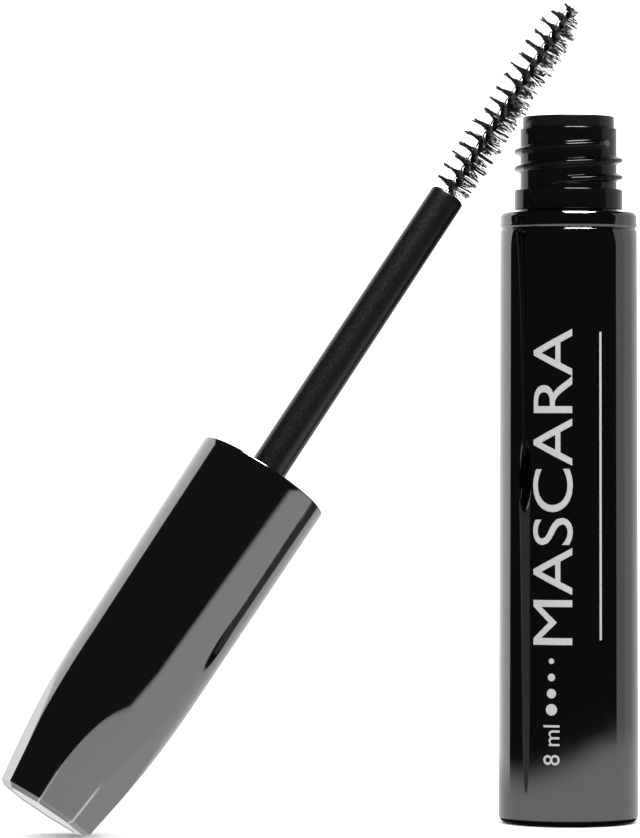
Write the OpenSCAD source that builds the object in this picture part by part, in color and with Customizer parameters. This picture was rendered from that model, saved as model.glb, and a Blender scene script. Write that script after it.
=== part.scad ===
// Mascara tube: an open bottle standing up, with its cap, stem and brush
// leaning on the rim of the neck. Millimetres, +Z up, origin at the centre
// of the bottle's base. The applicator is drawn along its own axis, with
// zero at the closed end of the cap, and then put in its leaning place.

/* [Bottle] */
// Height of the metallised sleeve, from the floor to the shoulder
sleeve_height = 80; // [76:0.5:82]
// Sleeve diameter at the foot
foot_diameter = 18.4; // [18.2:0.1:18.8]
// Sleeve diameter at the shoulder
shoulder_diameter = 18; // [17.9:0.1:18.2]
// Depth of the groove turned under the shoulder
groove_depth = 0.22; // [0.1:0.02:0.26]
// Thickness of the product left on the reservoir wall
coat_thickness = 3.6; // [1:0.2:3.8]

/* [Neck] */
// Distance that the thread climbs in one turn
thread_pitch = 2.23; // [2.1:0.01:2.3]
// Number of turns on the neck
thread_turns = 2.3; // [1.5:0.01:2.35]
// Hole in the wiper that the stem passes through
wiper_hole = 5.1; // [5:0.05:5.4]

/* [Cap] */
// Length of the overcap
cap_length = 51.5; // [49:0.5:54]
// Overcap diameter at the mouth
mouth_diameter = 18; // [17.9:0.1:18.4]
// Distance across the eight flats at the closed end
flats_width = 12.4; // [12:0.1:12.8]
// Turn of the flats about the applicator's axis
flats_turn = -2.3; // [-22.5:0.1:22.5]

/* [Wand] */
// Length of stem that shows beyond the cap's mouth
stem_reach = 44.3; // [40:0.1:45]
// Stem diameter where it leaves the cap
stem_diameter = 4.8; // [4.5:0.05:4.85]
// Length of brush beyond the stem
brush_length = 30.6; // [24:0.2:31]
// Diameter over the bristles
brush_diameter = 5.5; // [4.6:0.1:5.6]
// Distance along the brush for one full twist of the wire
brush_twist = 3.6; // [3:0.1:4.4]

/* [Leaning place] */
// Angle of the applicator from upright
lean = 34.6; // [33:0.2:37]
// Compass angle of the applicator's axis
heading = 17.6; // [0:0.2:45]

/* [Hidden] */
$fn = 72;
eps = 0.01;

// Bottle, upwards from the floor
wall = 0.65;
foot_wall = 0.75;
plug_gap = 0.04;
edge = 0.15;
heel_radius = 0.95;
shoulder_radius = 1;
top_wall = 1.2;
groove_low = sleeve_height - 2.75;
groove_high = groove_low + 1.1;
plug_height = 1.6;
plug_land = 0.2;
throat_radius = 6.52;
vial_gap = 0.12;
vial_radius = 8.2;
vial_wall = 0.8;
vial_floor_low = plug_height + 0.25;
vial_floor_high = vial_floor_low + 1.2;
vial_shoulder = sleeve_height - 2.1;
vial_bore = vial_radius - vial_wall;

// Neck, above the shoulder
gap_height = 0.35;
collar_low = sleeve_height + gap_height;
collar_high = collar_low + 2.65;
collar_radius = 7.1;
root_radius = 6.4;
neck_radius = 6.35;
neck_top = sleeve_height + 11.05;
neck_bore = 5.0;
thread_low = sleeve_height + 3.79;
thread_from = -140;
thread_crest = 7.15;
thread_foot = neck_radius - 0.2;
thread_steps = 36;
ridge_base = 1.15;
ridge_tip = 0.4;
ridge_fade = 0.12;

// Wiper
flange_radius = 6.0;
flange_low = neck_top + 0.05;
rim_top = flange_low + 1.5;
wiper_fit = 0.03;
wiper_depth = 9.5;
wiper_wall = 0.7;
lip_length = 2.4;
lip_wall = 0.35;

// Product
coat_gap = 0.1;
coat_low = vial_floor_high + coat_gap;
coat_high = sleeve_height - 14;

// Overcap, from the closed end towards the mouth
mouth_radius = mouth_diameter / 2;
end_chamfer = 0.55;
barrel_taper = 0.01;
bulge_from = 21.6;
bulge_curve = 132;
bulge_steps = 12;
flats_count = 8;
flats_slope = 0.145;
bore_radius = 8.3;
bore_from = 27;
bore_end_radius = 4.4;
end_wall = 2.2;
mouth_lip = 0.25;

// Inner cap
liner_radius = 8.22;
liner_bore = 7.5;
liner_recess = 0.7;
liner_mouth = cap_length - liner_recess;
ceiling_mouth_side = cap_length - 13.75;
ceiling_closed_side = ceiling_mouth_side - 1.6;
socket_radius = 3.6;
socket_bore = 2.55;
socket_from = ceiling_closed_side - 7;
rib_count = 6;
rib_width = 1;
cap_thread_turns = 1.4;
cap_thread_from = cap_length - 8.6;
cap_thread_crest = 6.65;

// Seal washer
washer_gap = 0.25;
washer_thick = 0.8;
washer_low = ceiling_mouth_side + washer_gap;
washer_inner = 2.75;
washer_outer = 7.15;

// Stem
stem_tip = cap_length + stem_reach;
stem_root = socket_from + 0.5;
stem_end_diameter = stem_diameter - 0.15;
hub_radius = 2.52;
tip_chamfer = 0.3;
wire_hole = 0.85;
wire_hole_depth = 7;

// Brush
brush_tip = stem_tip + brush_length;
brush_radius = brush_diameter / 2;
strand_radius = 0.24;
strand_offset = 0.42;
strand_steps = 14;
shank_radius = 0.72;
shank_from = stem_tip - 6;
twist_from = stem_tip + 0.3;
twist_turn = 16.2;
twist_to = brush_tip - 0.5;
bristles_from = stem_tip + 1.1;
bristles_to = brush_tip - 0.35;
bristle_radius = 0.13;
bristle_core = 0.3;
bristles_per_turn = 10;
tip_taper = 3.2;
tip_share = 0.45;

// Place of the leaning applicator: its closed end stands on the floor and
// its bristles stay just clear of the rim of the neck.
rim_gap = 0.085;
floor_gap = 0.02;
half_side = 180 / flats_count;
corner_radius = flat_at(end_chamfer) / cos(half_side);
corner_reach = corner_radius * cos(half_side - abs(flats_turn));
end_height = corner_reach * sin(lean) - end_chamfer * cos(lean) + floor_gap;
rim_distance = flange_radius + (brush_radius + rim_gap) / cos(lean);
end_distance = rim_distance + (rim_top - end_height) * tan(lean);

// [radius, height] points of an arc about a centre
function arc(centre, radius, from, to, steps = 8) =
    [for (i = [0 : steps])
        let (a = from + (to - from) * i / steps)
        centre + radius * [cos(a), sin(a)]];

// Distance of a flat from the axis
function flat_at(s) = flats_width / 2 + flats_slope * s;

// Radius of the round body of the overcap: a slight taper, which curves in
// towards the closed end
function body_at(s) =
    mouth_radius - barrel_taper * (cap_length - mouth_lip - s)
    - pow(max(0, bulge_from - s), 2) / (2 * bulge_curve);

// Height of a screw ridge at a share of its length: it fades at both ends
function fade(t) = min(1, t / ridge_fade, (1 - t) / ridge_fade);

module ridge(foot, crest, pitch, turns, from) {
    steps = ceil(turns * thread_steps);
    side = foot < crest ? 1 : -1;
    section = [for (i = [0 : steps])
        let (t = i / steps,
             a = from + 360 * turns * t,
             z = pitch * turns * t,
             f = max(0.02, fade(t)),
             top = foot + side * 0.2 + (crest - foot - side * 0.2) * f,
             base = ridge_base / 2,
             tip = ridge_tip / 2)
        each [for (p = [[foot, -base], [top, -tip], [top, tip], [foot, base]])
            [p[0] * cos(a), p[0] * sin(a), z + p[1]]]];
    quads = [for (i = [0 : steps - 1], j = [0 : 3])
        let (k = 4 * i + j, n = 4 * i + (j + 1) % 4)
        each side > 0
            ? [[k, n, k + 4], [n, n + 4, k + 4]]
            : [[k, k + 4, n], [n, k + 4, n + 4]]];
    last = 4 * steps;
    ends = side > 0
        ? [[3, 2, 1, 0], [last, last + 1, last + 2, last + 3]]
        : [[0, 1, 2, 3], [last + 3, last + 2, last + 1, last]];
    polyhedron(points = section, faces = concat(quads, ends), convexity = 6);
}

module leaning() {
    translate([-end_distance * cos(heading), -end_distance * sin(heading), end_height])
        rotate([0, lean, heading])
            children();
}

// ---------------------------------------------------------------- bottle

module outer_sleeve() {
    foot = foot_diameter / 2;
    top = shoulder_diameter / 2;
    bore = foot - foot_wall;
    outline = concat(
        [[bore, plug_land], [bore + plug_land, 0], [foot - heel_radius * 0.6, 0]],
        arc([foot - heel_radius, heel_radius], heel_radius, -60, 0),
        [[top, groove_low - edge],
         [top - groove_depth, groove_low + edge / 2],
         [top - groove_depth, groove_high - edge / 2],
         [top, groove_high + edge]],
        arc([top - shoulder_radius, sleeve_height - shoulder_radius], shoulder_radius, 0, 90),
        [[throat_radius, sleeve_height],
         [throat_radius, sleeve_height - top_wall],
         [top - wall - shoulder_radius, sleeve_height - top_wall],
         [vial_radius + vial_gap, sleeve_height - top_wall - shoulder_radius],
         [vial_radius + vial_gap, sleeve_height / 2],
         [bore, plug_height + 1]]);
    color("dimgray")
        rotate_extrude()
            polygon(outline);
}

module base_plug() {
    foot = foot_diameter / 2;
    plug = foot - foot_wall - plug_gap;
    color([0.08, 0.08, 0.09])
        rotate_extrude()
            polygon([[0, 0], [plug - plug_land, 0], [plug, plug_land],
                     [plug, plug_height], [0, plug_height]]);
}

module inner_vial() {
    color([0.06, 0.06, 0.07])
        union() {
            rotate_extrude()
                polygon(concat(
                    [[0, vial_floor_low], [vial_radius - 0.6, vial_floor_low],
                     [vial_radius, vial_floor_low + 0.6],
                     [vial_radius, vial_shoulder - 0.5],
                     [root_radius, vial_shoulder + 0.5],
                     [root_radius, collar_low],
                     [collar_radius - edge, collar_low],
                     [collar_radius, collar_low + edge],
                     [collar_radius, collar_high - edge],
                     [collar_radius - edge, collar_high],
                     [neck_radius, collar_high],
                     [neck_radius, neck_top - edge],
                     [neck_radius - edge, neck_top],
                     [neck_bore, neck_top],
                     [neck_bore, vial_shoulder - 1.6],
                     [vial_bore, vial_shoulder - 3.4],
                     [vial_bore, vial_floor_high + 1]],
                    [[vial_bore - 1, vial_floor_high], [0, vial_floor_high]]));
            translate([0, 0, thread_low])
                ridge(thread_foot, thread_crest, thread_pitch, thread_turns, thread_from);
        }
}

module wiper() {
    tube = neck_bore - wiper_fit;
    low = rim_top - wiper_depth;
    hole = wiper_hole / 2;
    color([0.12, 0.12, 0.13])
        rotate_extrude()
            polygon([[flange_radius - edge, rim_top], [tube - wiper_wall / 2, rim_top],
                     [tube - wiper_wall, rim_top - 0.9],
                     [tube - wiper_wall, low + lip_length],
                     [hole, low + 0.3],
                     [hole, low],
                     [hole + lip_wall, low],
                     [tube - 0.4, low + lip_length - 0.6],
                     [tube, low + lip_length],
                     [tube, flange_low],
                     [flange_radius, flange_low],
                     [flange_radius, rim_top - edge]]);
}

module mascara_fill() {
    outer = vial_bore - coat_gap;
    inner = outer - coat_thickness;
    color([0.02, 0.02, 0.02])
        rotate_extrude()
            polygon([[0, coat_low], [outer - 1.1, coat_low], [outer, coat_low + 1.1],
                     [outer, coat_high], [outer - 0.8, coat_high - 1.5],
                     [inner + 0.4, coat_high - 3], [inner, coat_high - 4.5],
                     [inner, coat_low + 1.2], [inner - 0.6, coat_low + 0.6],
                     [0, coat_low + 0.6]]);
}

// ------------------------------------------------------------ applicator

// Room between a pair of opposite flats, which spread towards the mouth
module flat_pair() {
    rotate([90, 0, 0])
        linear_extrude(height = 3 * mouth_diameter, center = true)
            polygon([[flat_at(0) - end_chamfer, 0], [flat_at(end_chamfer), end_chamfer],
                     [flat_at(cap_length + 1), cap_length + 1],
                     [-flat_at(cap_length + 1), cap_length + 1],
                     [-flat_at(end_chamfer), end_chamfer], [end_chamfer - flat_at(0), 0]]);
}

module overcap() {
    color("dimgray")
        leaning()
            difference() {
                intersection() {
                    rotate_extrude()
                        polygon(concat(
                            [[0, 0]],
                            [for (i = [0 : bulge_steps])
                                let (s = bulge_from * i / bulge_steps) [body_at(s), s]],
                            [[mouth_radius, cap_length - mouth_lip],
                             [mouth_radius - mouth_lip, cap_length],
                             [0, cap_length]]));
                    rotate([0, 0, flats_turn])
                        flat_pair();
                    rotate([0, 0, flats_turn + 2 * half_side])
                        flat_pair();
                    rotate([0, 0, flats_turn + 4 * half_side])
                        flat_pair();
                    rotate([0, 0, flats_turn + 6 * half_side])
                        flat_pair();
                }
                translate([0, 0, end_wall])
                    cylinder(h = bore_from - end_wall + eps, r1 = bore_end_radius, r2 = bore_radius);
                translate([0, 0, bore_from])
                    cylinder(h = cap_length, r = bore_radius);
            }
}

module inner_cap() {
    color([0.05, 0.05, 0.06])
        leaning()
            union() {
                rotate_extrude()
                    polygon([[liner_bore, liner_mouth], [liner_radius, liner_mouth],
                             [liner_radius, ceiling_closed_side],
                             [socket_radius, ceiling_closed_side],
                             [socket_radius, socket_from],
                             [socket_bore, socket_from],
                             [socket_bore, ceiling_mouth_side],
                             [liner_bore, ceiling_mouth_side]]);
                for (i = [0 : rib_count - 1])
                    rotate([0, 0, 360 * i / rib_count])
                        translate([socket_radius - 0.3, -rib_width / 2, socket_from + 1.5])
                            cube([liner_radius - 0.4 - socket_radius, rib_width,
                                  ceiling_closed_side - socket_from - 1]);
                translate([0, 0, cap_thread_from])
                    ridge(liner_bore + 0.2, cap_thread_crest, thread_pitch, cap_thread_turns, 0);
            }
}

module seal_washer() {
    color([0.75, 0.75, 0.72])
        leaning()
            translate([0, 0, washer_low])
                rotate_extrude()
                    polygon([[washer_inner, 0], [washer_outer, 0],
                             [washer_outer, washer_thick], [washer_inner, washer_thick]]);
}

module stem() {
    root = stem_diameter / 2;
    end = stem_end_diameter / 2;
    color([0.05, 0.05, 0.05])
        leaning()
            difference() {
                rotate_extrude()
                    polygon([[0, stem_root], [hub_radius - 0.3, stem_root],
                             [hub_radius, stem_root + 0.3],
                             [hub_radius, ceiling_mouth_side - 0.2],
                             [root, ceiling_mouth_side - 0.1],
                             [root, cap_length],
                             [end, stem_tip - tip_chamfer],
                             [end - tip_chamfer, stem_tip],
                             [0, stem_tip]]);
                translate([0, 0, stem_tip - wire_hole_depth])
                    cylinder(h = wire_hole_depth + 1, r = wire_hole);
            }
}

module brush_wire() {
    turns = (twist_to - twist_from) / brush_twist;
    color("silver")
        leaning()
            union() {
                translate([0, 0, shank_from])
                    cylinder(h = twist_from - shank_from + 0.2, r = shank_radius);
                translate([0, 0, twist_from])
                    linear_extrude(height = twist_to - twist_from, twist = 360 * turns,
                                   slices = ceil(strand_steps * turns), convexity = 8, $fn = 8)
                        rotate(twist_turn)
                            for (side = [-1, 1])
                                translate([side * strand_offset, 0])
                                    circle(r = strand_radius, $fn = 8);
                translate([0, 0, twist_to - 0.25])
                    cylinder(h = brush_tip - twist_to + 0.1, r1 = shank_radius - 0.12, r2 = 0.35);
            }
}

module bristles() {
    step = brush_twist / bristles_per_turn;
    count = floor((bristles_to - bristles_from) / step);
    color("black")
        leaning()
            union() {
                translate([0, 0, bristles_from - 0.2])
                    cylinder(h = count * step + 0.4, r = bristle_core, $fn = 8);
                for (i = [0 : count]) {
                    s = bristles_from + i * step;
                    t = min(1, (bristles_to - s) / tip_taper);
                    half = brush_radius * (tip_share + (1 - tip_share) * t);
                    translate([0, 0, s])
                        rotate([0, 90, twist_turn + 90 - 360 * (s - twist_from) / brush_twist])
                            cylinder(h = 2 * half, r = bristle_radius, center = true, $fn = 6);
                }
            }
}

outer_sleeve();
base_plug();
inner_vial();
wiper();
mascara_fill();
overcap();
inner_cap();
seal_washer();
stem();
brush_wire();
bristles();
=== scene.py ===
import math
import random

import bmesh
import bpy
from mathutils import Matrix, Vector


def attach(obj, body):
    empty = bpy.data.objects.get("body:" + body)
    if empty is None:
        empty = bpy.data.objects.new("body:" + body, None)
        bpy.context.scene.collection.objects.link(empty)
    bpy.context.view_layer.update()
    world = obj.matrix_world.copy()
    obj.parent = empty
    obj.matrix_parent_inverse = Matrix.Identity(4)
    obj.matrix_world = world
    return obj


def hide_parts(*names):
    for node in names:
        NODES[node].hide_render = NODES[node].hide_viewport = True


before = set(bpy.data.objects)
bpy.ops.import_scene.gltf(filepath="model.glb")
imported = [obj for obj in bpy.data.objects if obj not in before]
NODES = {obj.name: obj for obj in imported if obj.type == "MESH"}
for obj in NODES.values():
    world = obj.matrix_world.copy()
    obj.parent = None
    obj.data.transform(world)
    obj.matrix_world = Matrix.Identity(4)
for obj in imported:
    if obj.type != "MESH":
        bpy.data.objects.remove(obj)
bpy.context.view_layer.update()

MM = 0.001
TAU = 2 * math.pi

# ------------------------------------------------------------ sizes, in mm
# Bottle, upwards from the floor
SLEEVE_H = 80.0
FOOT_R = 9.2
SHOULDER_R = 9.0
SLEEVE_BORE = 8.45
VIAL_R, VIAL_BORE = 8.2, 7.4
NECK_R, NECK_BORE, NECK_TOP = 6.35, 5.0, 91.05
COLLAR_LOW, COLLAR_HIGH, COLLAR_R = 80.35, 83.0, 7.1
THREAD_PITCH, THREAD_TURNS = 2.23, 2.3
THREAD_LOW, THREAD_CREST = 83.79, 7.15
THREAD_FROM = math.radians(-140)
RIM_R, RIM_TOP = 6.0, 92.6

# Applicator, along its own axis from the closed end of the cap
CAP_L = 51.5
MOUTH_R, MOUTH_LIP = 9.0, 0.25
CEILING = CAP_L - 13.75
STEM_TIP = 95.8
STEM_R, STEM_END_R = 2.4, 2.325
BRUSH_TIP = 126.4
BRUSH_R = 2.75
BRUSH_TWIST = 3.6
TWIST_FROM = STEM_TIP + 0.3
TWIST_TURN = math.radians(16.2)
FLATS = 8
FLAT_LOW, FLAT_SLOPE = 6.2, 0.15
FLATS_TURN = math.radians(-2.3)
HALF_SIDE = math.pi / FLATS
END_CHAMFER = 0.55
TAPER, BULGE_FROM, BULGE_CURVE = 0.01, 21.6, 132.0

# Place of the leaning applicator, by the CAD's formula
LEAN = math.radians(34.6)
HEADING = math.radians(17.6)
RIM_GAP, FLOOR_GAP = 0.085, 0.02


def applicator_place():
    """The matrix that puts the applicator's own axis in its leaning place."""
    corner = (FLAT_LOW + FLAT_SLOPE * END_CHAMFER) / math.cos(HALF_SIDE)
    reach = corner * math.cos(HALF_SIDE - abs(FLATS_TURN))
    height = reach * math.sin(LEAN) - END_CHAMFER * math.cos(LEAN) + FLOOR_GAP
    rim = RIM_R + (BRUSH_R + RIM_GAP) / math.cos(LEAN)
    away = rim + (RIM_TOP - height) * math.tan(LEAN)
    turn = Matrix.Rotation(HEADING, 4, "Z") @ Matrix.Rotation(LEAN, 4, "Y")
    move = Matrix.Translation((-away * math.cos(HEADING), -away * math.sin(HEADING), height))
    return move @ turn


PLACE = applicator_place()


# --------------------------------------------------------------- materials
class Finish:
    """A Principled material being built, with its procedural detail."""

    def __init__(self, name, colour, rough, metallic=0.0, **inputs):
        self.mat = bpy.data.materials.new(name)
        self.mat.use_nodes = True
        self.tree = self.mat.node_tree
        self.tree.nodes.clear()
        self.out = self.add("ShaderNodeOutputMaterial")
        self.bsdf = self.add("ShaderNodeBsdfPrincipled")
        self.link(self.bsdf, "BSDF", self.out, "Surface")
        self.bsdf.inputs["Base Color"].default_value = (*colour, 1)
        self.bsdf.inputs["Roughness"].default_value = rough
        self.bsdf.inputs["Metallic"].default_value = metallic
        for key, value in inputs.items():
            self.bsdf.inputs[key.replace("_", " ")].default_value = value
        self.coord = self.add("ShaderNodeTexCoord")

    def add(self, kind, **props):
        node = self.tree.nodes.new(kind)
        for key, value in props.items():
            setattr(node, key, value)
        return node

    def link(self, a, out, b, into):
        self.tree.links.new(a.outputs[out], b.inputs[into])

    def noise(self, scale, detail=3.0, rough=0.5, stretch=(1, 1, 1)):
        """A noise texture in object space, with features about 1/scale metres across."""
        mapping = self.add("ShaderNodeMapping")
        mapping.inputs["Scale"].default_value = stretch
        self.link(self.coord, "Object", mapping, "Vector")
        tex = self.add("ShaderNodeTexNoise")
        tex.inputs["Scale"].default_value = scale
        tex.inputs["Detail"].default_value = detail
        tex.inputs["Roughness"].default_value = rough
        self.link(mapping, "Vector", tex, "Vector")
        return tex

    def spread(self, source, low, high, into):
        """Runs an input of the shader from one colour to another over the middle of a noise."""
        ramp = self.add("ShaderNodeValToRGB")
        first, last = ramp.color_ramp.elements
        first.position, last.position = 0.3, 0.7
        first.color, last.color = (*low, 1), (*high, 1)
        self.link(source, "Fac", ramp, "Fac")
        self.link(ramp, "Color", self.bsdf, into)

    def roughness(self, source, low, high):
        self.spread(source, (low, low, low), (high, high, high), "Roughness")

    def colour(self, source, low, high):
        self.spread(source, low, high, "Base Color")

    def bump(self, source, strength, distance):
        bump = self.add("ShaderNodeBump")
        bump.inputs["Strength"].default_value = strength
        bump.inputs["Distance"].default_value = distance
        self.link(source, "Fac", bump, "Height")
        self.link(bump, "Normal", self.bsdf, "Normal")

    def highlight_paint(self, attribute, colour, rough):
        """Mixes in a lighter, rougher metal colour where a vertex attribute is above zero: a painted
        highlight.
        """
        highlit = self.add("ShaderNodeAttribute", attribute_name=attribute)
        for key, value in (("Base Color", (*colour, 1)), ("Roughness", (rough, rough, rough, 1))):
            mix = self.add("ShaderNodeMix", data_type="RGBA")
            link = self.bsdf.inputs[key].links[0]
            first, second = (q for q in mix.inputs if q.type == "RGBA")
            self.tree.links.new(link.from_socket, first)
            second.default_value = value
            self.link(highlit, "Fac", mix, "Factor")
            out = next(q for q in mix.outputs if q.type == "RGBA")
            self.tree.links.new(out, self.bsdf.inputs[key])


def metallised(name, colour, rough, highlit=False):
    """Dark metallised lacquer: a faint orange peel and a very fine speckle. A highlit one gets a
    lighter, rougher metal colour painted along its edges as a highlight."""
    m = Finish(name, colour, rough, metallic=1.0)
    speckle = m.noise(9000, 2.0, 0.6)
    darker = tuple(c * 0.93 for c in colour)
    lighter = tuple(c * 1.07 for c in colour)
    m.colour(speckle, darker, lighter)
    m.roughness(m.noise(350, 4.0), rough * 0.8, rough * 1.25)
    m.bump(m.noise(420, 2.0), 0.025, 0.00005)
    if highlit:
        # Painted highlight: a lighter metal colour along the corners, standing in for their reflection
        m.highlight_paint("edge_highlight", (0.9, 0.9, 0.9), 0.4)
    return m.mat


def plastic(name, colour, low, high, grain=2500, specular=0.5):
    """Moulded plastic, with fine grain in its gloss and surface."""
    m = Finish(name, colour, low, Specular_IOR_Level=specular)
    tex = m.noise(grain, 3.0)
    m.roughness(tex, low, high)
    m.colour(m.noise(600, 3.0), tuple(c * 0.85 for c in colour), tuple(c * 1.15 for c in colour))
    m.bump(tex, 0.04, 0.00004)
    return m.mat


def drawn_wire():
    m = Finish("drawn_wire", (0.62, 0.62, 0.63), 0.2, metallic=1.0)
    streak = m.noise(1500, 3.0, 0.6, (1, 1, 0.15))
    m.roughness(streak, 0.12, 0.3)
    m.bump(streak, 0.05, 0.00002)
    return m.mat


def nylon():
    m = Finish("nylon", (0.006, 0.006, 0.006), 0.45, Specular_IOR_Level=0.3)
    m.colour(m.noise(4000, 2.0), (0.003, 0.003, 0.003), (0.012, 0.012, 0.012))
    m.roughness(m.noise(2500, 2.0), 0.35, 0.6)
    return m.mat


def ink():
    m = Finish("print_ink", (0.3, 0.3, 0.3), 0.4, Specular_IOR_Level=0.4)
    m.colour(m.noise(3500, 3.0), (0.27, 0.27, 0.27), (0.32, 0.32, 0.32))
    m.roughness(m.noise(1500, 3.0), 0.35, 0.5)
    return m.mat


def paste():
    m = Finish("paste", (0.008, 0.008, 0.008), 0.2)
    lumps = m.noise(700, 4.0)
    m.roughness(lumps, 0.12, 0.35)
    m.bump(lumps, 0.4, 0.0002)
    return m.mat


def foam():
    m = Finish("washer_foam", (0.68, 0.68, 0.66), 0.75)
    cells = m.noise(5000, 2.0)
    m.colour(cells, (0.55, 0.55, 0.53), (0.75, 0.75, 0.73))
    m.bump(cells, 0.3, 0.00008)
    return m.mat


def paper():
    """The pale floor."""
    m = Finish("floor_pale", (0.9, 0.9, 0.9), 0.9)
    m.colour(m.noise(60, 3.0), (0.895, 0.895, 0.895), (0.905, 0.905, 0.905))
    return m.mat


def glow(name, strength):
    mat = bpy.data.materials.new(name)
    mat.use_nodes = True
    tree = mat.node_tree
    tree.nodes.clear()
    out = tree.nodes.new("ShaderNodeOutputMaterial")
    emit = tree.nodes.new("ShaderNodeEmission")
    emit.inputs["Color"].default_value = (1, 1, 1, 1)
    emit.inputs["Strength"].default_value = strength
    tree.links.new(emit.outputs["Emission"], out.inputs["Surface"])
    return mat


SHELL = metallised("shell_gunmetal", (0.125, 0.125, 0.128), 0.05)
# The cap's lacquer gets the painted highlight along its corners and end rim
CAP_SHELL = metallised("cap_gunmetal", (0.19, 0.19, 0.193), 0.06, highlit=True)
GLOSS_BLACK = plastic("gloss_black", (0.0022, 0.0022, 0.0024), 0.05, 0.10, specular=0.28)
SOFT_BLACK = plastic("soft_black", (0.005, 0.005, 0.0052), 0.16, 0.28, specular=0.28)
SATIN_BLACK = plastic("satin_black", (0.003, 0.003, 0.003), 0.24, 0.36, grain=3200)
WIRE, NYLON, INK, PASTE, FOAM = drawn_wire(), nylon(), ink(), paste(), foam()


# ---------------------------------------------------------------- meshes
def piece(name, verts, faces, body, material, place=None, sharp=40.0):
    """A mesh in millimetres, put in place, shaded smooth with sharp edges, riding on a body."""
    mesh = bpy.data.meshes.new(name)
    mesh.from_pydata([tuple(v) for v in verts], [], faces)
    mesh.validate()
    mesh.transform(Matrix.Scale(MM, 4) @ (place or Matrix.Identity(4)))
    mesh.update()
    obj = bpy.data.objects.new(name, mesh)
    bpy.context.scene.collection.objects.link(obj)
    mesh.materials.append(material)
    smooth(obj, sharp)
    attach(obj, body)
    return obj


def smooth(obj, sharp):
    """Smooth shading that keeps every edge sharper than the angle."""
    mesh = obj.data
    mesh.shade_smooth()
    mesh.set_sharp_from_angle(angle=math.radians(sharp))


def ring_faces(rows, cols):
    """Quads over a grid of rows of cols points, each row a closed ring."""
    faces = []
    for j in range(rows - 1):
        a, b = j * cols, (j + 1) * cols
        for i in range(cols):
            k = (i + 1) % cols
            faces.append((a + i, a + k, b + k, b + i))
    return faces


def lathe(name, profile, body, material, place=None, segments=192, sharp=40.0, radius=None):
    """Turns a closed (r, z) profile about Z, anticlockwise in (r, z) for outward faces.
    A point on the axis becomes a single point."""
    verts, rows = [], []
    for r, z in profile:
        if r < 1e-6:
            rows.append([len(verts)] * segments)
            verts.append((0, 0, z))
            continue
        row = []
        for i in range(segments):
            a = TAU * i / segments
            rr = radius(r, z, a) if radius else r
            row.append(len(verts))
            verts.append((rr * math.cos(a), rr * math.sin(a), z))
        rows.append(row)
    faces = []
    for j in range(len(rows)):
        a, b = rows[j], rows[(j + 1) % len(rows)]
        if a[0] == a[1] and b[0] == b[1]:
            continue
        for i in range(segments):
            k = (i + 1) % segments
            quad = [a[i], a[k], b[k], b[i]]
            faces.append(tuple(dict.fromkeys(quad)))
    return piece(name, verts, faces, body, material, place, sharp)


def arc(centre, radius, start, end, steps=10):
    """Points of an arc in (r, z), angles in degrees."""
    out = []
    for i in range(steps + 1):
        a = math.radians(start + (end - start) * i / steps)
        out.append((centre[0] + radius * math.cos(a), centre[1] + radius * math.sin(a)))
    return out


def line(a, b, steps):
    """Points from a to b, without b."""
    return [(a[0] + (b[0] - a[0]) * i / steps, a[1] + (b[1] - a[1]) * i / steps)
            for i in range(steps)]


def ease(t):
    """Rises smoothly from 0 to 1 as t does, and stays flat outside."""
    t = min(1.0, max(0.0, t))
    return t * t * (3 - 2 * t)


# ---------------------------------------------------------------- bottle
def sleeve_radius(z):
    """Outer radius of the sleeve's wall at a height."""
    return FOOT_R + (SHOULDER_R - FOOT_R) * (z - 1) / (SLEEVE_H - 2)


def build_sleeve():
    heel, land = 0.95, 0.2
    groove_low, groove_high = 77.62, 78.12
    low_wall, high_wall = 0.1, 0.14
    soft, turn_in = 0.03, 0.06
    wall_top = 77.1
    round_in, round_up, round_steps = 0.6, 0.75, 14
    throat, throat_edge = 6.52, 0.12
    top_wall, vial_room = 1.2, 8.32
    top, bed = SHOULDER_R, SHOULDER_R - 0.18
    foot = [(SLEEVE_BORE, land), (SLEEVE_BORE + land, 0.0), (FOOT_R - heel * 0.62, 0.0)]
    foot += arc((FOOT_R - heel, heel), heel, -66, 0, 12)
    wall = line((sleeve_radius(heel), heel + 0.05), (sleeve_radius(wall_top), wall_top), 40)[1:]
    groove = [(top, groove_low - 0.04), (top - soft, groove_low)]
    groove += [(bed + soft, groove_low + low_wall), (bed, groove_low + low_wall + turn_in)]
    groove += [(bed, groove_high - high_wall - turn_in), (bed + soft, groove_high - high_wall)]
    groove += [(top - soft, groove_high), (top, groove_high + 0.04)]
    bead = [(top + 0.02, 78.3), (top - 0.02, 78.42), (top - 0.05, 78.6)]
    shoulder = [(top - 0.05 - round_in + round_in * math.cos(a),
                 SLEEVE_H - round_up + round_up * math.sin(a))
                for a in (math.pi / 2 * i / round_steps for i in range(round_steps + 1))]
    inner = [(throat + throat_edge, SLEEVE_H), (throat, SLEEVE_H - throat_edge)]
    inner += [(throat, SLEEVE_H - top_wall), (top - 1.65, SLEEVE_H - top_wall)]
    inner += [(vial_room, SLEEVE_H - 2.3), (vial_room, SLEEVE_H / 2), (SLEEVE_BORE, 2.6)]
    outer = foot + wall + groove + bead + shoulder
    obj = lathe("outer_shell", outer + inner, "bottle", SHELL, segments=256)
    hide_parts("outer_sleeve")


def build_plug():
    """The disc in the foot, with a fine raised ring near its edge."""
    radius, height, recess, land = 8.41, 1.6, 0.05, 0.2
    ring, ring_r = radius - 1.4, 0.12
    profile = [(0, recess), (ring - 0.2, recess)] + arc((ring, 0.0), ring_r, 150, 30, 4)
    profile += [(ring + 0.2, 0.0), (radius - land, 0.0), (radius, land), (radius, height), (0, height)]
    obj = lathe("base_disc", profile, "bottle", GLOSS_BLACK, segments=128)
    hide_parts("base_plug")


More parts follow.
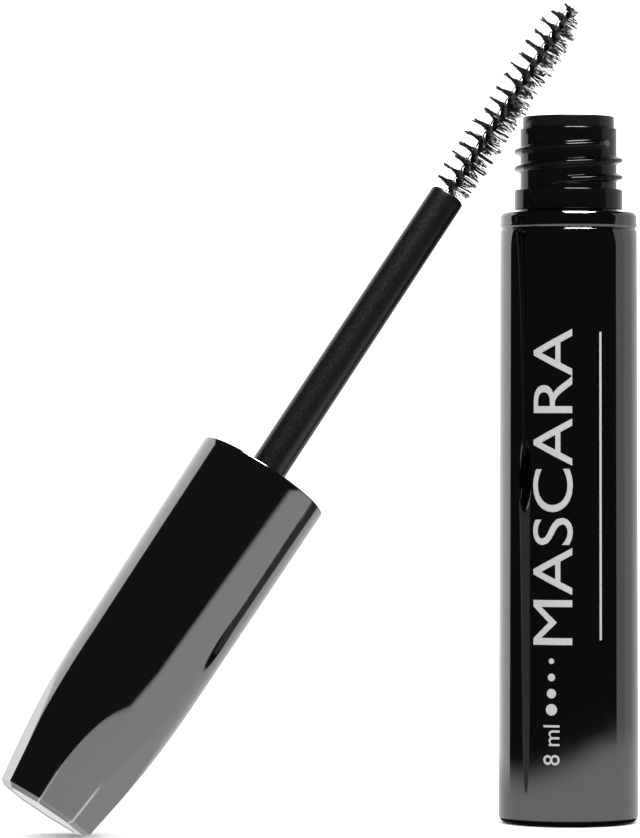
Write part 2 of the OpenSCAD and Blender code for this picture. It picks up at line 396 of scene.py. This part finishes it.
def thread_height(angle, z):
    """How far the screw ridge stands out of the neck at an angle and a height."""
    half_base, half_tip, crest = 0.6, 0.13, THREAD_CREST - NECK_R
    fade_in, fade_out = 0.14, 0.035
    best = 0.0
    for k in range(-1, math.ceil(THREAD_TURNS) + 1):
        t = (angle - THREAD_FROM + TAU * k) / (TAU * THREAD_TURNS)
        mid = THREAD_LOW + THREAD_PITCH * THREAD_TURNS * t
        fade = ease(t / fade_in) * ease((1 - t) / fade_out)
        flank = 1 - ease((abs(z - mid) - half_tip) / (half_base - half_tip))
        best = max(best, flank * crest * fade)
    return best


def build_vial():
    floor_low, floor_high, shoulder = 1.85, 2.95, 78.4
    root, edge, soft, fillet = 6.4, 0.18, 0.1, 0.12
    thread_from, thread_to, thread_rows = 83.2, 90.4, 150
    profile = [(0, floor_low), (VIAL_R - 0.6, floor_low), (VIAL_R, floor_low + 0.6)]
    profile += [(VIAL_R, shoulder - 1), (root, shoulder), (root, COLLAR_LOW)]
    profile += [(COLLAR_R - 0.08, COLLAR_LOW)]
    profile += arc((COLLAR_R - soft, COLLAR_LOW + soft), soft, -60, 0, 3)
    profile += arc((COLLAR_R - edge, COLLAR_HIGH - edge), edge, 0, 90, 6)
    profile += [(NECK_R + fillet, COLLAR_HIGH), (NECK_R + 0.03, COLLAR_HIGH + 0.03)]
    profile += [(NECK_R, COLLAR_HIGH + fillet)]
    profile += line((NECK_R, thread_from), (NECK_R, thread_to), thread_rows)
    profile += [(NECK_R, thread_to), (NECK_R, NECK_TOP - 0.2)]
    profile += arc((NECK_R - edge, NECK_TOP - edge), edge, 0, 90, 5)
    profile += [(NECK_BORE + 0.05, NECK_TOP), (NECK_BORE, NECK_TOP - 0.05), (NECK_BORE, shoulder - 2.1)]
    profile += [(VIAL_BORE, shoulder - 3.9), (VIAL_BORE, floor_high + 1)]
    profile += [(VIAL_BORE - 1, floor_high), (0, floor_high)]

    def radius(r, z, angle):
        on_thread = thread_from <= z <= thread_to and r == NECK_R
        return r + thread_height(angle, z) if on_thread else r

    obj = lathe("vial_body", profile, "bottle", GLOSS_BLACK, segments=288, radius=radius, sharp=50)
    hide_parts("inner_vial")


def build_wiper():
    """The flange on the neck, and its sleeve down to the lip that wipes the stem."""
    tube, bore, hole = 4.97, 4.27, 2.55
    low, flange_low = RIM_TOP - 9.5, NECK_TOP + 0.05
    lip = low + 2.4
    edge, mouth = 0.16, 0.4
    profile = [(tube, flange_low), (RIM_R - 0.05, flange_low), (RIM_R, flange_low + 0.05)]
    profile += arc((RIM_R - edge, RIM_TOP - edge), edge, 0, 90, 6)
    profile += arc((tube + 0.05, RIM_TOP - mouth), mouth, 90, 150, 5)
    profile += [(bore, RIM_TOP - 1.0), (bore, lip)]
    profile += line((bore - 0.17, lip - 0.2), (hole + 0.1, low + 0.35), 6)
    profile += [(hole, low + 0.2), (hole, low), (hole + 0.35, low), (tube - 0.4, lip - 0.6), (tube, lip)]
    obj = lathe("wiper_ring", profile, "bottle", SOFT_BLACK)
    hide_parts("wiper")


FRONT = math.radians(-90)
PRINT_LIFT = 0.02


def wrap(u, v):
    """A point of the print, u mm round the sleeve to the right of its front and v mm up."""
    r = sleeve_radius(v) + PRINT_LIFT
    a = FRONT + u / FOOT_R
    return (r * math.cos(a), r * math.sin(a), v)


def print_text(verts, faces, words, letter_height, length, right, low):
    """Plain lettering that reads upwards. Its foot is at right mm and its start at low mm, and it
    is cut into strips that are narrow enough to follow the round sleeve."""
    strip = 0.35
    curve = bpy.data.curves.new("words", "FONT")
    curve.body = words
    curve.resolution_u = 6
    holder = bpy.data.objects.new("words", curve)
    bpy.context.scene.collection.objects.link(holder)
    bpy.context.view_layer.update()
    graph = bpy.context.evaluated_depsgraph_get()
    flat = bpy.data.meshes.new_from_object(holder.evaluated_get(graph))
    bpy.data.objects.remove(holder)
    shape = bmesh.new()
    shape.from_mesh(flat)
    xs, ys = [v.co.x for v in shape.verts], [v.co.y for v in shape.verts]
    x_low, x_scale = min(xs), length / (max(xs) - min(xs))
    y_low, y_scale = min(ys), letter_height / (max(ys) - min(ys))
    cuts = int(letter_height / strip)
    for i in range(1, cuts):
        level = y_low + (max(ys) - y_low) * i / cuts
        everything = shape.verts[:] + shape.edges[:] + shape.faces[:]
        bmesh.ops.bisect_plane(shape, geom=everything, plane_co=(0, level, 0), plane_no=(0, 1, 0))
    base = len(verts)
    shape.verts.index_update()
    for v in shape.verts:
        verts.append(wrap(right - (v.co.y - y_low) * y_scale, low + (v.co.x - x_low) * x_scale))
    for f in shape.faces:
        faces.append(tuple(base + v.index for v in f.verts))
    shape.free()


def print_patch(verts, faces, outline, centre):
    """A small flat shape, fanned about its centre."""
    base = len(verts)
    verts.append(wrap(*centre))
    verts += [wrap(*q) for q in outline]
    n = len(outline)
    for i in range(n):
        faces.append((base, base + 1 + i, base + 1 + (i + 1) % n))


def build_print():
    """A plain generic print: the kind of product, a rule, a column of dots and the contents."""
    rule, rule_low, rule_length, rule_half = 3.9, 24.2, 40, 0.16
    dots, dot_u, dot_low, dot_step, dot_sides = 4, -2.7, 15.2, 2.1, 28
    verts, faces = [], []
    print_text(verts, faces, "MASCARA", letter_height=5.4, length=41.0, right=0.1, low=23.6)
    print_text(verts, faces, "8 ml", letter_height=2.2, length=5.2, right=-1.6, low=8.0)
    for i in range(rule_length):
        left, right, v = rule - rule_half, rule + rule_half, rule_low + i
        base = len(verts)
        verts += [wrap(*q) for q in ((left, v), (right, v), (right, v + 1), (left, v + 1))]
        faces.append((base, base + 1, base + 2, base + 3))
    for i in range(dots):
        v, r = dot_low + dot_step * i, 0.75 - 0.13 * i
        turns = [TAU * k / dot_sides for k in range(dot_sides)]
        ring = [(dot_u + r * math.cos(a), v + r * math.sin(a)) for a in turns]
        print_patch(verts, faces, ring, (dot_u, v))
    piece("sleeve_print", verts, faces, "bottle", INK)


# -------------------------------------------------------------- applicator
ROUND_FROM = 30.0
HIGHLIGHT_TO = 12.0


def body_radius(s):
    """Radius of the round body of the overcap at a distance from its closed end."""
    bulge = max(0.0, BULGE_FROM - s) ** 2 / (2 * BULGE_CURVE)
    return MOUTH_R - TAPER * (CAP_L - MOUTH_LIP - s) - bulge


def soft_min(a, b, k):
    """The smaller of two values, rounded where they come within k of each other."""
    h = max(k - abs(a - b), 0.0) / k
    return min(a, b) - h * h * k / 4


def cap_faces(s, angle):
    """Radius of the round body, and of the nearest and the next flat, along one ray."""
    off = (angle - FLATS_TURN + HALF_SIDE) % (2 * HALF_SIDE) - HALF_SIDE
    flat = FLAT_LOW + FLAT_SLOPE * s
    return body_radius(s), flat / math.cos(off), flat / math.cos(2 * HALF_SIDE - abs(off))


def cap_radius(s, angle):
    """Radius of the overcap: a bulged round body that eight flats cut towards the closed end."""
    if s > ROUND_FROM:
        return body_radius(s)
    body, near, far = cap_faces(s, angle)
    # Corners are crisp at the closed end and soften towards the mouth
    corner = 0.05 + 0.2 * ease(s / 12)
    blend = 0.03 + 0.08 * ease(s / 16)
    return soft_min(body, soft_min(near, far, corner), blend)


def edge_highlight(s, angle):
    """How much painted highlight the lacquer gets, from 0 to 1: a lighter metal colour along the corners
    between the flats.
    """
    if s > HIGHLIGHT_TO:
        return 0.0
    strength, width, fade_from, fade_length = 0.6, 0.12, 5, 5
    body, near, far = cap_faces(s, angle)
    if near > body + 0.02:
        return 0.0
    line_share = math.exp(-((far - near) / width) ** 2)
    return strength * line_share * (1 - ease((s - fade_from) / fade_length))


def build_cap():
    """The overcap, ring by ring: from the middle of its dished end, along the outside to the
    mouth, and back through the bore."""
    per_flat = 84
    segments = FLATS * per_flat
    angles = [FLATS_TURN + TAU * (i + 0.5 * per_flat) / segments for i in range(segments)]
    chamfer, dish, rim_highlight = END_CHAMFER, 0.12, 0.12
    fine_step, coarse_step, fine_to = 0.25, 1.2, 24
    bore, bore_end, bore_edge, end_wall = 8.3, 4.4, 0.06, 2.2
    verts, highlight_paint = [], []

    def add_ring(radii, s, highlit=False, least_highlight=0.0):
        verts.extend((r * math.cos(a), r * math.sin(a), s) for r, a in zip(radii, angles))
        highlight_paint.extend(max(least_highlight, edge_highlight(s, a)) if highlit else 0.0 for a in angles)

    end = [cap_radius(0.0, a) - chamfer for a in angles]
    for share, depth in ((0.3, 1.0), (0.7, 1.0), (0.93, 0.9), (0.965, 0.25)):
        add_ring([share * r for r in end], dish * depth)
    add_ring([r - 0.06 for r in end], 0.0)
    add_ring([r + 0.02 for r in end], 0.02, highlit=True)
    # Painted highlight, at least faint, all round the end rim
    add_ring([cap_radius(chamfer, a) - 0.04 for a in angles], chamfer - 0.03, True, rim_highlight)
    s = chamfer + 0.02
    while s < CAP_L - 2 * MOUTH_LIP:
        add_ring([cap_radius(s, a) for a in angles], s, highlit=True)
        s += fine_step if s < fine_to else coarse_step
    for r, s in arc((MOUTH_R - MOUTH_LIP, CAP_L - MOUTH_LIP), MOUTH_LIP, 0, 90, 5):
        add_ring([r] * segments, s)
    add_ring([bore + bore_edge] * segments, CAP_L)
    for s in (CAP_L - bore_edge, 45, 36, 27.5):
        add_ring([bore] * segments, s)
    add_ring([bore_end] * segments, end_wall)

    rings = len(verts) // segments
    faces = ring_faces(rings, segments)
    for s, ring, flip in ((dish, 0, False), (end_wall, rings - 1, True)):
        centre = len(verts)
        verts.append((0, 0, s))
        highlight_paint.append(0.0)
        for i in range(segments):
            a, b = ring * segments + i, ring * segments + (i + 1) % segments
            faces.append((a, b, centre) if flip else (b, a, centre))
    obj = piece("cap_shell", verts, faces, "applicator", CAP_SHELL, PLACE, sharp=60)
    # Share of painted highlight per vertex, read by the cap's lacquer
    layer = obj.data.attributes.new("edge_highlight", "FLOAT", "POINT")
    layer.data.foreach_set("value", highlight_paint)
    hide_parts("overcap")


def build_stem():
    """The rod: a hub held in the inner cap, a slight taper, and a rounded end with the wire's hole."""
    hub, low, bevel = 2.52, 28.9, 0.3
    end_round, hole, hole_depth = 0.4, 0.85, 7
    profile = [(0, low), (hub - bevel, low), (hub, low + bevel)]
    profile += [(hub, CEILING - 0.2), (STEM_R, CEILING - 0.1)]
    profile += line((STEM_R, CAP_L), (STEM_END_R, STEM_TIP - 0.45), 60)
    profile += arc((STEM_END_R - end_round, STEM_TIP - end_round), end_round, 0, 80, 6)
    profile += [(STEM_END_R - 0.75, STEM_TIP), (STEM_END_R - 1.0, STEM_TIP - 0.1)]
    profile += [(hole + 0.1, STEM_TIP - 0.28), (hole, STEM_TIP - 0.5)]
    profile += [(hole, STEM_TIP - hole_depth), (0, STEM_TIP - hole_depth)]
    obj = lathe("stem_rod", profile, "applicator", SATIN_BLACK, PLACE, segments=96)
    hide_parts("stem")


def tube(points, radii, sides, verts, faces):
    """Adds a tube with closed ends along points to verts and faces, with one radius a point."""
    n = len(points)
    base = len(verts)
    p = [Vector(q) for q in points]
    normal = None
    for i in range(n):
        t = (p[min(i + 1, n - 1)] - p[max(i - 1, 0)]).normalized()
        if normal is None:
            normal = t.orthogonal().normalized()
        else:
            normal = (normal - t * normal.dot(t)).normalized()
        side = t.cross(normal)
        r = radii[i]
        for j in range(sides):
            a = TAU * j / sides
            verts.append(p[i] + normal * (r * math.cos(a)) + side * (r * math.sin(a)))
    for i in range(n - 1):
        for j in range(sides):
            k = (j + 1) % sides
            a, b = base + i * sides, base + (i + 1) * sides
            faces.append((a + j, a + k, b + k, b + j))
    faces.append(tuple(base + j for j in reversed(range(sides))))
    faces.append(tuple(base + (n - 1) * sides + j for j in range(sides)))


WIRE_R, WIRE_OFFSET = 0.3, 0.32
WIRE_FROM, WIRE_TO = STEM_TIP - 5.5, BRUSH_TIP - 0.4


def wire_angle(s):
    """Compass angle of the first strand at a distance along the brush: a left-hand twist."""
    return TWIST_TURN - TAU * (s - TWIST_FROM) / BRUSH_TWIST


def build_wire():
    verts, faces = [], []
    spacing = 0.09
    steps = int((WIRE_TO - WIRE_FROM) / spacing)
    for side in (0, math.pi):
        points = []
        for i in range(steps + 1):
            s = WIRE_FROM + (WIRE_TO - WIRE_FROM) * i / steps
            a = wire_angle(s) + side
            points.append((WIRE_OFFSET * math.cos(a), WIRE_OFFSET * math.sin(a), s))
        tube(points, [WIRE_R] * len(points), 16, verts, faces)
    obj = piece("twisted_wire", verts, faces, "applicator", WIRE, PLACE)
    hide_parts("brush_wire")


def build_bristles():
    """Filaments held by the wire, which gather into small clumps towards their tips."""
    rng = random.Random(7)
    verts, faces = [], []
    first, last = STEM_TIP + 0.75, WIRE_TO
    clump_step, per_clump = 0.23, 11
    core, filament_r, bends = 0.1, 0.038, 5
    tip_share, tip_taper = 0.42, 3.2
    root_share, root_taper = 0.82, 1.2
    s = first
    while s < last:
        for side in (0.0, math.pi):
            mid = s + rng.gauss(0, 0.05)
            clump_out = wire_angle(mid) + math.pi / 2 + side + rng.gauss(0, 0.16)
            clump_length = 1.06 - 0.14 * rng.random() ** 2
            clump_lean = rng.gauss(0, 0.14)
            gather = 0.35 + 0.45 * rng.random()
            for _ in range(per_clump):
                root = mid + rng.uniform(-0.22, 0.22)
                out = wire_angle(root) + math.pi / 2 + side + rng.gauss(0, 0.17)
                at_tip = tip_share + (1 - tip_share) * (last - root) / tip_taper
                at_root = root_share + (1 - root_share) * (root - first) / root_taper
                short = min(1.0, at_tip, at_root)
                length = BRUSH_R * short * clump_length * (1 - 0.14 * rng.random() ** 2)
                tip = root + (mid - root) * gather + clump_lean + rng.gauss(0, 0.07)
                turn = (clump_out - out) * gather + rng.gauss(0, 0.02)
                points, radii = [], []
                for k in range(bends + 1):
                    q = k / bends
                    r = core + (length - core) * q
                    a = out + turn * q * q
                    points.append((r * math.cos(a), r * math.sin(a), root + (tip - root) * q * q))
                    radii.append(filament_r * (1 - 0.2 * q))
                tube(points, radii, 4, verts, faces)
        s += clump_step
    obj = piece("bristle_tufts", verts, faces, "applicator", NYLON, PLACE)
    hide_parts("bristles")


def finish_cad_nodes():
    """Materials and smooth shading for the CAD nodes that stay."""
    for node, material in (("inner_cap", GLOSS_BLACK), ("seal_washer", FOAM), ("mascara_fill", PASTE)):
        obj = NODES[node]
        obj.data.materials.clear()
        obj.data.materials.append(material)
        smooth(obj, 30)


# -------------------------------------------------------- stage, in metres
def stage_mesh(name, verts, faces, material, glossy_only):
    """A mesh of the stage. Either only the gloss mirrors it, or everything but the gloss sees it."""
    mesh = bpy.data.meshes.new(name)
    mesh.from_pydata(verts, [], faces)
    obj = bpy.data.objects.new(name, mesh)
    bpy.context.scene.collection.objects.link(obj)
    mesh.materials.append(material)
    if glossy_only:
        obj.visible_camera = False
        obj.visible_diffuse = False
        obj.visible_shadow = False
        obj.visible_transmission = False
    else:
        obj.visible_glossy = False
    return obj


def curved_card(name, strength, radius, start, end, low, high, steps=24):
    """An upright card on a circle. Angles are in degrees from the camera's side: seen from the
    camera, positive ones are to the right."""
    verts, faces = [], []
    for i in range(steps + 1):
        a = math.radians(start + (end - start) * i / steps)
        x, y = radius * math.sin(a), -radius * math.cos(a)
        verts += [(x, y, low), (x, y, high)]
    for i in range(steps):
        k = 2 * i
        faces.append((k, k + 2, k + 3, k + 1))
    stage_mesh(name, verts, faces, glow(name, strength), glossy_only=True)


def flat_card(name, strength, x0, y0, x1, y1, z):
    verts = [(x0, y0, z), (x1, y0, z), (x1, y1, z), (x0, y1, z)]
    stage_mesh(name, verts, [(0, 1, 2, 3)], glow(name, strength), glossy_only=True)


def round_pool(name, strength, centre, full, end, z):
    """A flat round card whose light fades to clear between two radii."""
    steps = 96
    turns = [TAU * i / steps for i in range(steps)]
    verts = [(end * math.cos(a), end * math.sin(a), 0) for a in turns]
    mat = glow(name, strength)
    tree = mat.node_tree
    coord = tree.nodes.new("ShaderNodeTexCoord")
    length = tree.nodes.new("ShaderNodeVectorMath")
    length.operation = "LENGTH"
    fade = tree.nodes.new("ShaderNodeMapRange")
    fade.interpolation_type = "SMOOTHSTEP"
    for key, value in (("From Min", full), ("From Max", end), ("To Min", 1.0), ("To Max", 0.0)):
        fade.inputs[key].default_value = value
    tree.links.new(coord.outputs["Object"], length.inputs[0])
    tree.links.new(length.outputs["Value"], fade.inputs["Value"])
    clear = tree.nodes.new("ShaderNodeBsdfTransparent")
    mix = tree.nodes.new("ShaderNodeMixShader")
    tree.links.new(fade.outputs["Result"], mix.inputs["Fac"])
    tree.links.new(clear.outputs["BSDF"], mix.inputs[1])
    tree.links.new(tree.nodes["Emission"].outputs["Emission"], mix.inputs[2])
    tree.links.new(mix.outputs["Shader"], tree.nodes["Material Output"].inputs["Surface"])
    obj = stage_mesh(name, verts, [tuple(range(steps))], mat, glossy_only=True)
    obj.location = (*centre, z)


def build_floor():
    """The pale floor, just below the object: the gloss doesn't mirror it."""
    size, low = 6.0, -0.0001
    verts = [(-size, -size, low), (size, -size, low), (size, size, low), (-size, size, low)]
    stage_mesh("floor", verts, [(0, 1, 2, 3)], paper(), glossy_only=False)


def build_cards():
    """What the gloss mirrors: a closed room of almost black card, light cards at its sides and
    back, a pool of light under the object with a dark spot of painted shade at the bottle's foot
    that stands in for the table's contact shadow, and a small bright card above."""
    dark, room, wide = 0.03, 2.0, 2.2
    curved_card("flag_round", dark, room, 0, 360, -room, room, 72)
    flat_card("flag_above", dark, -wide, -wide, wide, wide, room)
    flat_card("flag_below", dark, -wide, -wide, wide, wide, -1.5)
    near, low, high = 1.6, -1.4, 1.2
    curved_card("card_left", 1.5, near, -180, -116, low, high)
    curved_card("card_right_a", 0.55, near, 84, 104, low, high)
    curved_card("card_right_b", 0.7, near, 104, 130, low, high)
    curved_card("card_right_c", 0.85, near, 130, 180, low, high)
    round_pool("table_light", 1.0, (0.045, -0.005), 0.105, 0.2, z=-0.001)
    # Painted shade: a dark disc that the bottle's heel mirrors in place of the shadowed table at its
    # foot
    round_pool("painted_contact_shade", 0.02, (0.0, 0.0), 0.0105, 0.0125, z=-0.0008)
    flat_card("card_top", 40.0, -0.05, -0.36, 0.27, 0.0, 0.6)


def build_world():
    """White all round, for the background and the light."""
    world = bpy.data.worlds.new("studio")
    bpy.context.scene.world = world
    world.use_nodes = True
    background = world.node_tree.nodes["Background"]
    background.inputs["Color"].default_value = (1, 1, 1, 1)
    background.inputs["Strength"].default_value = 2.2


def build_camera():
    camera = bpy.data.cameras.new("camera")
    obj = bpy.data.objects.new("camera", camera)
    bpy.context.scene.collection.objects.link(obj)
    focal_px, long_side_px, sensor = 4800.0, 838.0, 36.0
    camera.sensor_width = sensor
    camera.lens = sensor * focal_px / long_side_px
    obj.location = (-0.03265, -0.631, 0.0529)
    obj.rotation_euler = (math.pi / 2, 0, 0)
    camera.clip_start, camera.clip_end = 0.01, 20
    bpy.context.scene.camera = obj


build_sleeve()
build_print()
build_plug()
build_vial()
build_wiper()
build_cap()
build_stem()
build_wire()
build_bristles()
finish_cad_nodes()
build_floor()
build_cards()
build_world()
build_camera()
bpy.context.scene.view_settings.view_transform = "Standard"
